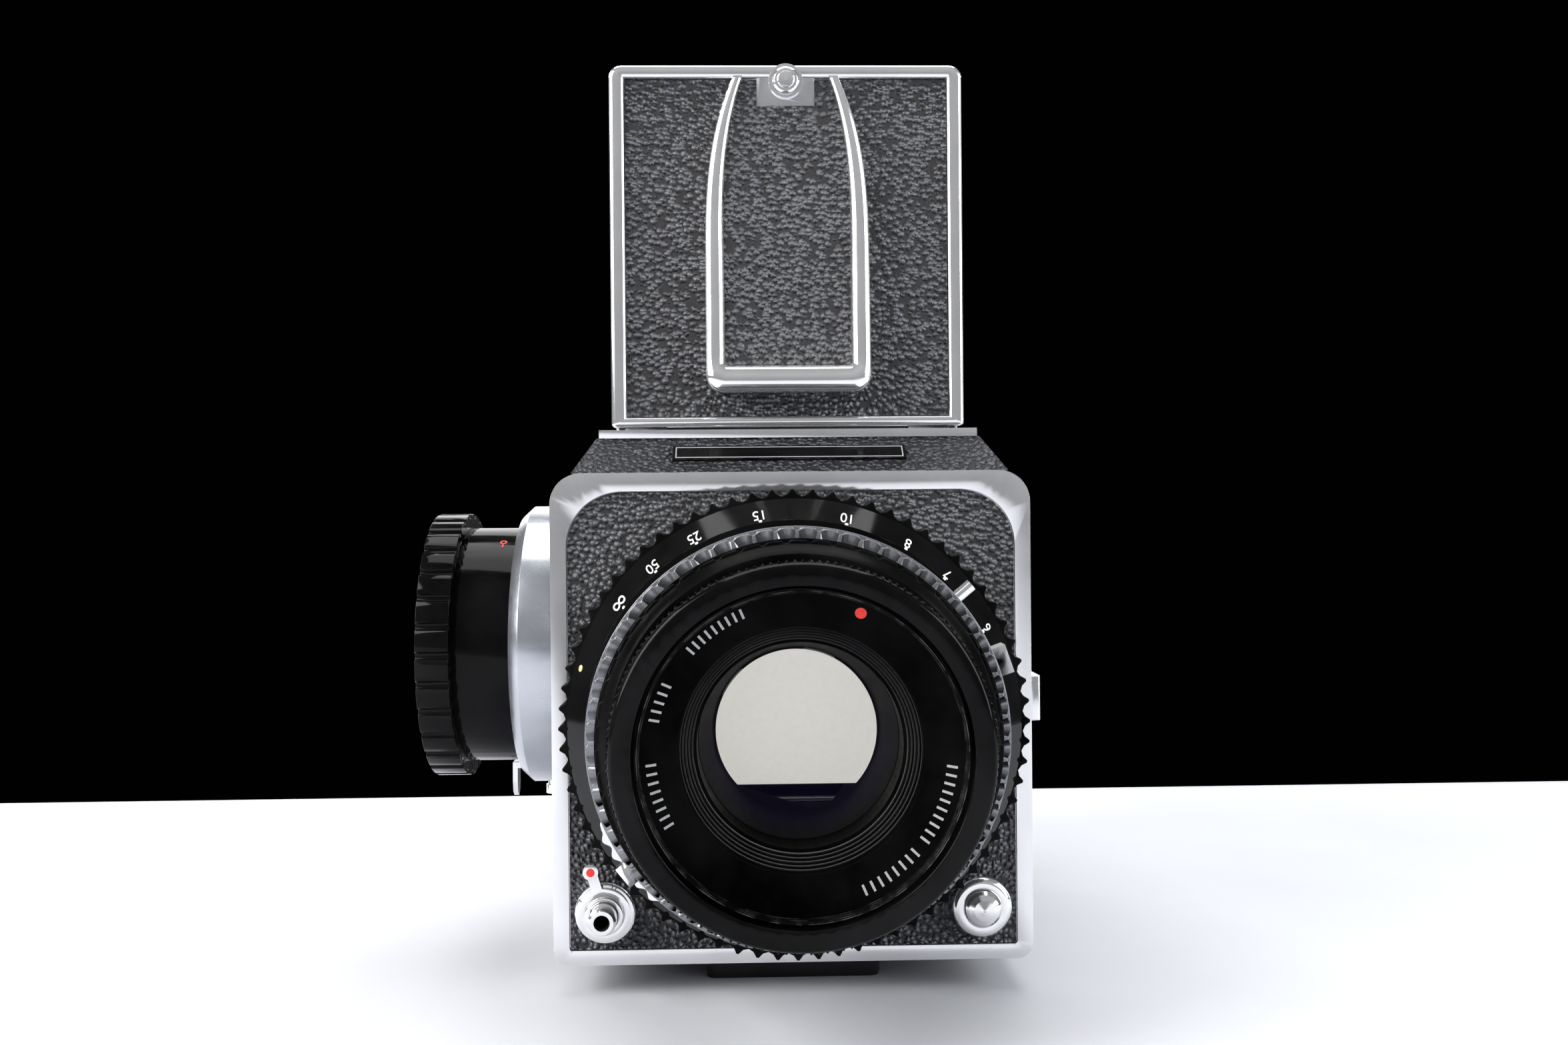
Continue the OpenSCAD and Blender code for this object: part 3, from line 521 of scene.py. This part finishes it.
def pupil():
    """Bright image of the mirror in the lens, painted as a glowing disc with its foot cut straight."""
    radius, cut, depth, steps = 14.2, -9.6, 19.0, 96
    start = math.asin(cut / radius)
    points = []
    for i in range(steps + 1):
        a = start + (math.pi - 2 * start) * i / steps
        points.append((radius * math.cos(a), radius * math.sin(a)))
    thickness = 0.3
    verts = [(x, y, z) for z in (depth, depth - thickness) for x, y in points]
    n = len(points)
    faces = [tuple(range(n)), tuple(reversed(range(n, 2 * n)))]
    faces += [(i, (i + 1) % n, n + (i + 1) % n, n + i) for i in range(n)]
    # Painted light: the disc glows with the image; it is no lamp.
    mesh_piece("pupil_painted_light", moved(LENS, verts), faces,
               "pupil_glow", "lens_front", flat=True)
    baffle = [(14.4, 17.6), (24.9, 17.6), (24.9, 18.2), (17.2, 29.8), (16.9, 29.8)]
    turned("inner_baffle", LENS, baffle, "matte_black", "lens_front", "matte_black")


def glass_grooves():
    """Fine turned grooves round the front glass."""
    for k in range(5):
        r = 17.5 + k * 0.5
        d = 37.4 + k * 0.72
        ridge = [(r, d), (r + 0.3, d + 0.1), (r + 0.34, d + 0.34), (r + 0.1, d + 0.4)]
        turned(f"glass_groove_{k}", LENS, ridge, "groove_black", "lens_front", "lens_black")


def lever_comb():
    """Scalloped finger grip of the preview lever, lying along the distance band."""
    verts, faces = [], []
    first, last, count = 204, 233, 58
    inner, back, front = 36.5, 20.5, 22.3
    for i in range(count + 1):
        a = math.radians(first + (last - first) * i / count)
        # The grip rises over its first steps, then waves once every 9.6 steps
        rise = min(1.0, min(i, count - i) / 4) * 1.2
        outer = 37.1 + rise + 0.40 * math.cos(math.radians(i * 360 / 9.6))
        for r, d in ((inner, back), (inner, front), (outer, front), (outer, back)):
            verts.append((r * math.cos(a), r * math.sin(a), d))
    for i in range(count):
        for k in range(4):
            m = (k + 1) % 4
            faces.append((i * 4 + k, i * 4 + 4 + k, i * 4 + 4 + m, i * 4 + m))
    faces += [(0, 1, 2, 3), (count * 4 + 3, count * 4 + 2, count * 4 + 1, count * 4)]
    mesh_piece("preview_comb", moved(LENS, verts), faces, "chrome_bright", "depth_lever")


def release_marks():
    """Red dot on the time lever's tip, ring and line marks on its collar."""
    tip = Matrix.Rotation(math.radians(107), 4, "Z") @ Matrix.Translation((8.5 * MM, 0, 2.4 * MM))
    turned("time_dot", BUTTON @ tip, [(0.0, 0.0), (0.8, 0.0), (0.8, 0.06), (0.0, 0.1)],
           "red_ink", "time_selector", "chrome_bright", steps=24)
    ring = Matrix.Rotation(math.radians(98), 4, "Z") @ Matrix.Translation((5.2 * MM, 0, 0.8 * MM))
    turned("collar_ring_mark", BUTTON @ ring, [(0.22, 0.0), (0.42, 0.0), (0.42, 0.03), (0.22, 0.03)],
           "dark_ink", "camera", "chrome_case", steps=20)
    line = box_points(4.95, 5.45, -0.09, 0.09, 0.8, 0.83)
    for k, angle in enumerate((152, 74, 66)):
        spot = BUTTON @ Matrix.Rotation(math.radians(angle), 4, "Z")
        mesh_piece(f"collar_line_{k}", moved(spot, line), BOX_FACES,
                   "dark_ink", "camera", flat=True)


def painted_socket_shade():
    """Threaded bore of the release button in matte black: painted shade inside the chrome hole, with a
    black disc at its bottom.
    """
    profile = [(1.49, 1.05), (1.49, 7.2)]
    pitch = 0.66
    for k in range(9):
        profile += [(1.36, 7.1 - k * pitch), (1.24, 6.8 - k * pitch)]
    profile += [(1.24, 1.25), (0.02, 1.25), (0.02, 1.05)]
    # Painted shade: the bore and its bottom disc are black in place of the shade inside the chrome button.
    turned("socket_painted_shade", BUTTON, profile, "matte_black", "release", "chrome_bright", steps=40)


def catch_tab():
    """Bright tab of the crank catch, hanging below the knob's hub."""
    shape = [(-1.9, 38.9), (1.9, 38.9), (2.0, 34.6), (1.5, 32.6), (0.0, 31.6), (-1.5, 32.6), (-2.0, 34.6)]
    middle_y = KNOB_Y / MM
    verts = [(x, middle_y + y, z) for x in (-57.2, -58.2) for y, z in shape]
    n = len(shape)
    faces = [tuple(range(n)), tuple(reversed(range(n, 2 * n)))]
    faces += [(i, n + i, n + (i + 1) % n, (i + 1) % n) for i in range(n)]
    base = len(verts)
    stem = [(-1.6, 37.6), (1.6, 37.6), (1.6, 38.8), (-1.6, 38.8)]
    verts += [(x, middle_y + y, z) for x in (-54.6, -57.4) for y, z in stem]
    faces += [(base + i, base + 4 + i, base + 4 + (i + 1) % 4, base + (i + 1) % 4) for i in range(4)]
    faces += [(base, base + 1, base + 2, base + 3), (base + 7, base + 6, base + 5, base + 4)]
    mesh_piece("catch_tab", moved(Matrix.Identity(4), verts), faces,
               "chrome_bright", "camera", flat=True)


def knob_marks():
    """Red index marks on the hub: a small ring and a line beside it."""
    hub_r, height = 24.5 * MM, 12.6 * MM
    up = Matrix.Rotation(math.radians(-28), 4, "Z")
    outward = Matrix.Rotation(math.radians(90), 4, "Y")
    face = KNOB @ up @ Matrix.Translation((hub_r, 0, height)) @ outward
    turned("hub_ring_mark", face, [(0.42, -0.06), (0.72, -0.06), (0.72, 0.05), (0.42, 0.05)],
           "red_ink", "knob", "black_gloss", steps=24)
    line = box_points(-0.12, 0.12, -2.0, -0.9, -0.05, 0.05)
    mesh_piece("hub_line_mark", moved(face, line), BOX_FACES, "red_ink", "knob", flat=True)


def band_dot():
    """Pale index dot on the left of the distance band."""
    dot = on_cone(164, 39.6, 16.24, BAND_LEAN, True)
    verts, faces = lathe([(0.0, 0.0), (0.62, 0.0), (0.62, 0.06), (0.0, 0.12)], steps=20)
    mesh_piece("band_dot", moved(dot, verts), faces, "yellow_ink", "focuser")


def plate_border():
    """Thin engraved border on the blank plate of the roof."""
    slope = Matrix.Rotation(math.atan2(6.9, 9), 4, "X")
    plate = Matrix.Translation((0, -24.5 * MM, 102.55 * MM)) @ slope
    outer, inner, z0, z1 = (21.9, 1.75), (21.7, 1.55), 0.50, 0.55
    verts = []
    for z in (z0, z1):
        for w, h in (outer, inner):
            verts += [(-w, -h, z), (w, -h, z), (w, h, z), (-w, h, z)]
    faces = []
    for i in range(4):
        j = (i + 1) % 4
        faces += [(8 + i, 8 + j, 12 + j, 12 + i), (i, 4 + i, 4 + j, j)]
        faces += [(i, j, 8 + j, 8 + i), (4 + i, 12 + i, 12 + j, 4 + j)]
    mesh_piece("plate_border", moved(plate, verts), faces,
               "grey_ink", "camera", flat=True)


# ------------------------------------------------------------- hood mouldings

# The raised lid in mm: front face, lower edge, width and height
LID_Y, LID_Z, LID_W, LID_H = -20.0, 108.2, 69.0, 70.5
# Magnifier housing on the lid, heights above the lid's lower edge
HOUSING_HALF, HOUSING_TOP, HOUSING_LOW = 15.9, 68.0, 6.4
HOUSING_CORNER_R, STRAIGHT_TOP = 3.3, 30


def bead(name, outer, inner, surface, rise, closed):
    """Polished convex moulding on the lid between outlines of (x, z), bulging towards -y.

    surface gives the y of the face at a height, rise the bulge as a share of the width.
    """
    sections, sunk = 8, 0.4
    rows = []
    for (ox, oz), (ix, iz) in zip(outer, inner):
        width = math.hypot(ox - ix, oz - iz)
        row = []
        for k in range(sections + 1):
            t = k / sections
            x, z = ox + (ix - ox) * t, oz + (iz - oz) * t
            row.append((x, surface(z) - rise * width * math.sin(math.pi * t) ** 0.75, z))
        row.append((ix, surface(iz) + sunk, iz))
        row.append((ox, surface(oz) + sunk, oz))
        rows.append(row)
    n = sections + 3
    verts = [Vector(v) * MM for row in rows for v in row]
    last = len(rows) if closed else len(rows) - 1
    faces = []
    for i in range(last):
        j = (i + 1) % len(rows)
        for k in range(n):
            m = (k + 1) % n
            faces.append((i * n + k, j * n + k, j * n + m, i * n + m))
    if not closed:
        end = (len(rows) - 1) * n
        faces += [tuple(range(n)), tuple(reversed(range(end, end + n)))]
    mesh_piece(name, verts, faces, "chrome_bright", "lid", angle=60)


def housing_half(z):
    """Half width of the magnifier housing at height z above the lid's lower edge."""
    if z < STRAIGHT_TOP:
        return HOUSING_HALF
    return HOUSING_HALF - 5.9 * ((z - STRAIGHT_TOP) / 39) ** 3


def housing_surface(z):
    """The housing's sloping front, at height z in the shared frame."""
    return LID_Y - 5.4 + (z - LID_Z - 7) * 5.2 / 62


def housing_bead():
    """Moulding round the magnifier housing, narrower towards the top."""
    outer, inner = [], []
    steps, width, inner_low = 30, 3.5, 11.9
    corner_z = HOUSING_LOW + HOUSING_CORNER_R
    corner_x = HOUSING_HALF - HOUSING_CORNER_R
    for i in range(steps + 1):
        z = HOUSING_TOP - (HOUSING_TOP - corner_z) * i / steps
        u = max(0.0, (z - 11.4) / 58.6)
        outer.append((-housing_half(z), z))
        edge = -(housing_half(z) - width + 1.9 * u ** 3)
        inner.append((edge, max(z, inner_low + 0.02 * (steps - i))))
    for i in range(1, 10):
        a = math.radians(180 + 90 * i / 10)
        outer.append((HOUSING_CORNER_R * math.cos(a) - corner_x, corner_z + HOUSING_CORNER_R * math.sin(a)))
        inner.append((-12.4 + 0.05 * i, inner_low - 0.05 * i))
    foot_low, foot_half = 11.4, 11.8
    for i in range(4):
        x = -corner_x + corner_x * i / 4
        outer.append((x, HOUSING_LOW))
        inner.append((x * foot_half / corner_x, foot_low))
    outer = [(x, z + LID_Z) for x, z in outer]
    inner = [(x, z + LID_Z) for x, z in inner]
    outer += [(0.0, HOUSING_LOW + LID_Z)] + [(-x, z) for x, z in reversed(outer)]
    inner += [(0.0, foot_low + LID_Z)] + [(-x, z) for x, z in reversed(inner)]
    bead("housing_bead", outer, inner, housing_surface, 0.24, False)


def rim_bead():
    """Rounded moulding on the lid's rim."""
    outer, inner = [], []
    half, low, high = LID_W / 2, LID_Z, LID_Z + LID_H
    side, top, foot = 2.8, 2.4, 1.8
    top_r, foot_r = 2.4, 0.6
    # Each corner: side of the lid, top or foot, and the angle where its arc starts
    for sx, at_top, start in ((1, True, 0), (-1, True, 90), (-1, False, 180), (1, False, 270)):
        r = top_r if at_top else foot_r
        cx = sx * (half - r)
        cz = high - r if at_top else low + r
        iz = high - top if at_top else low + foot
        for i in range(7):
            a = math.radians(start + 15 * i)
            outer.append((cx + r * math.cos(a), cz + r * math.sin(a)))
            inner.append((sx * (half - side) + 0.02 * math.cos(a), iz + 0.02 * math.sin(a)))
    bead("rim_bead", outer, inner, lambda z: LID_Y, 0.16, True)


for build in (distance_scale, ring_ticks, housing_bead, rim_bead, front_serration, pupil, glass_grooves,
              lever_comb, release_marks, painted_socket_shade, catch_tab, knob_marks, band_dot, plate_border):
    build()


# --------------------------------------------------------------- stage


def stage():
    """Pale floor that ends in a rolled edge behind the object, soft lights and the viewpoint."""
    ground = bpy.data.meshes.new("floor")
    rows = [(-3.0, 0.0), (0.16, 0.0), (0.19, -0.004), (0.21, -0.02), (0.22, -0.06), (0.22, -0.6)]
    ground.from_pydata([(x, y, z) for y, z in rows for x in (-3, 3)], [],
                       [(2 * i, 2 * i + 1, 2 * i + 3, 2 * i + 2) for i in range(len(rows) - 1)])
    ground.shade_smooth()
    floor = bpy.data.objects.new("floor", ground)
    bpy.context.scene.collection.objects.link(floor)
    g = Graph("floor_paper").set(Roughness=0.7)
    g.mix_colour(g.span(g.noise(8, 3), 0.3, 0.7, 0, 1), (0.60, 0.61, 0.65), (0.66, 0.67, 0.71))
    ground.materials.append(g.mat)

    world = bpy.data.worlds.new("studio")
    bpy.context.scene.world = world
    world.use_nodes = True
    tree = world.node_tree
    background = tree.nodes["Background"]
    output = tree.nodes["World Output"]
    seen = tree.nodes.new("ShaderNodeBackground")
    seen.inputs["Color"].default_value = (0.0004, 0.0004, 0.0005, 1)
    path = tree.nodes.new("ShaderNodeLightPath")
    mix = tree.nodes.new("ShaderNodeMixShader")
    place_in = tree.nodes.new("ShaderNodeTexCoord")
    parts = tree.nodes.new("ShaderNodeSeparateXYZ")
    tree.links.new(place_in.outputs["Generated"], parts.inputs["Vector"])
    front = tree.nodes.new("ShaderNodeMapRange")
    for key, number in (("From Min", 0.35), ("From Max", -0.75), ("To Min", 0.08), ("To Max", 0.30)):
        front.inputs[key].default_value = number
    tree.links.new(parts.outputs["Y"], front.inputs["Value"])
    rise = tree.nodes.new("ShaderNodeMapRange")
    for key, number in (("From Min", -0.1), ("From Max", 0.6), ("To Min", 0.75), ("To Max", 1.35)):
        rise.inputs[key].default_value = number
    tree.links.new(parts.outputs["Z"], rise.inputs["Value"])
    glow = tree.nodes.new("ShaderNodeMath")
    glow.operation = "MULTIPLY"
    tree.links.new(front.outputs["Result"], glow.inputs[0])
    tree.links.new(rise.outputs["Result"], glow.inputs[1])
    background.inputs["Color"].default_value = (0.97, 0.98, 1.0, 1)
    tree.links.new(glow.outputs["Value"], background.inputs["Strength"])
    tree.links.new(path.outputs["Is Camera Ray"], mix.inputs["Fac"])
    tree.links.new(background.outputs["Background"], mix.inputs[1])
    tree.links.new(seen.outputs["Background"], mix.inputs[2])
    tree.links.new(mix.outputs["Shader"], output.inputs["Surface"])

    def softbox(name, where, target, size, power, tone=(1, 1, 1)):
        light = bpy.data.lights.new(name, "AREA")
        light.shape = "RECTANGLE"
        light.size, light.size_y = size
        light.energy = power
        light.color = tone
        obj = bpy.data.objects.new(name, light)
        obj.location = where
        obj.rotation_euler = (Vector(target) - Vector(where)).to_track_quat("-Z", "Y").to_euler()
        bpy.context.scene.collection.objects.link(obj)

    middle = (0, 0, 0.09)
    softbox("key", (-0.80, -0.40, 0.55), middle, (0.7, 0.7), 15, (1.0, 0.99, 0.97))
    softbox("fill", (0.9, -0.35, 0.40), middle, (0.6, 0.7), 9, (0.96, 0.98, 1.0))
    softbox("top", (0.0, 0.15, 1.0), middle, (0.9, 0.7), 9)
    softbox("back", (0.0, 1.0, 0.55), middle, (1.3, 0.7), 6)

    camera_data = bpy.data.cameras.new("camera")
    camera_data.sensor_width = 36
    camera_data.lens = 33.43
    camera_data.clip_start = 0.01
    camera = bpy.data.objects.new("camera", camera_data)
    camera.location = (-0.00915, -0.3053, 0.0912)
    yaw, down, roll = -1.63, 0.38, -0.5
    aim = Matrix.Rotation(math.radians(yaw), 4, "Z") @ Matrix.Rotation(math.radians(90 - down), 4, "X")
    level = Matrix.Rotation(math.radians(roll), 4, "Z")
    camera.matrix_world = Matrix.Translation(camera.location) @ aim @ level
    bpy.context.scene.collection.objects.link(camera)
    bpy.context.scene.camera = camera
    bpy.context.scene.view_settings.view_transform = "Standard"


stage()
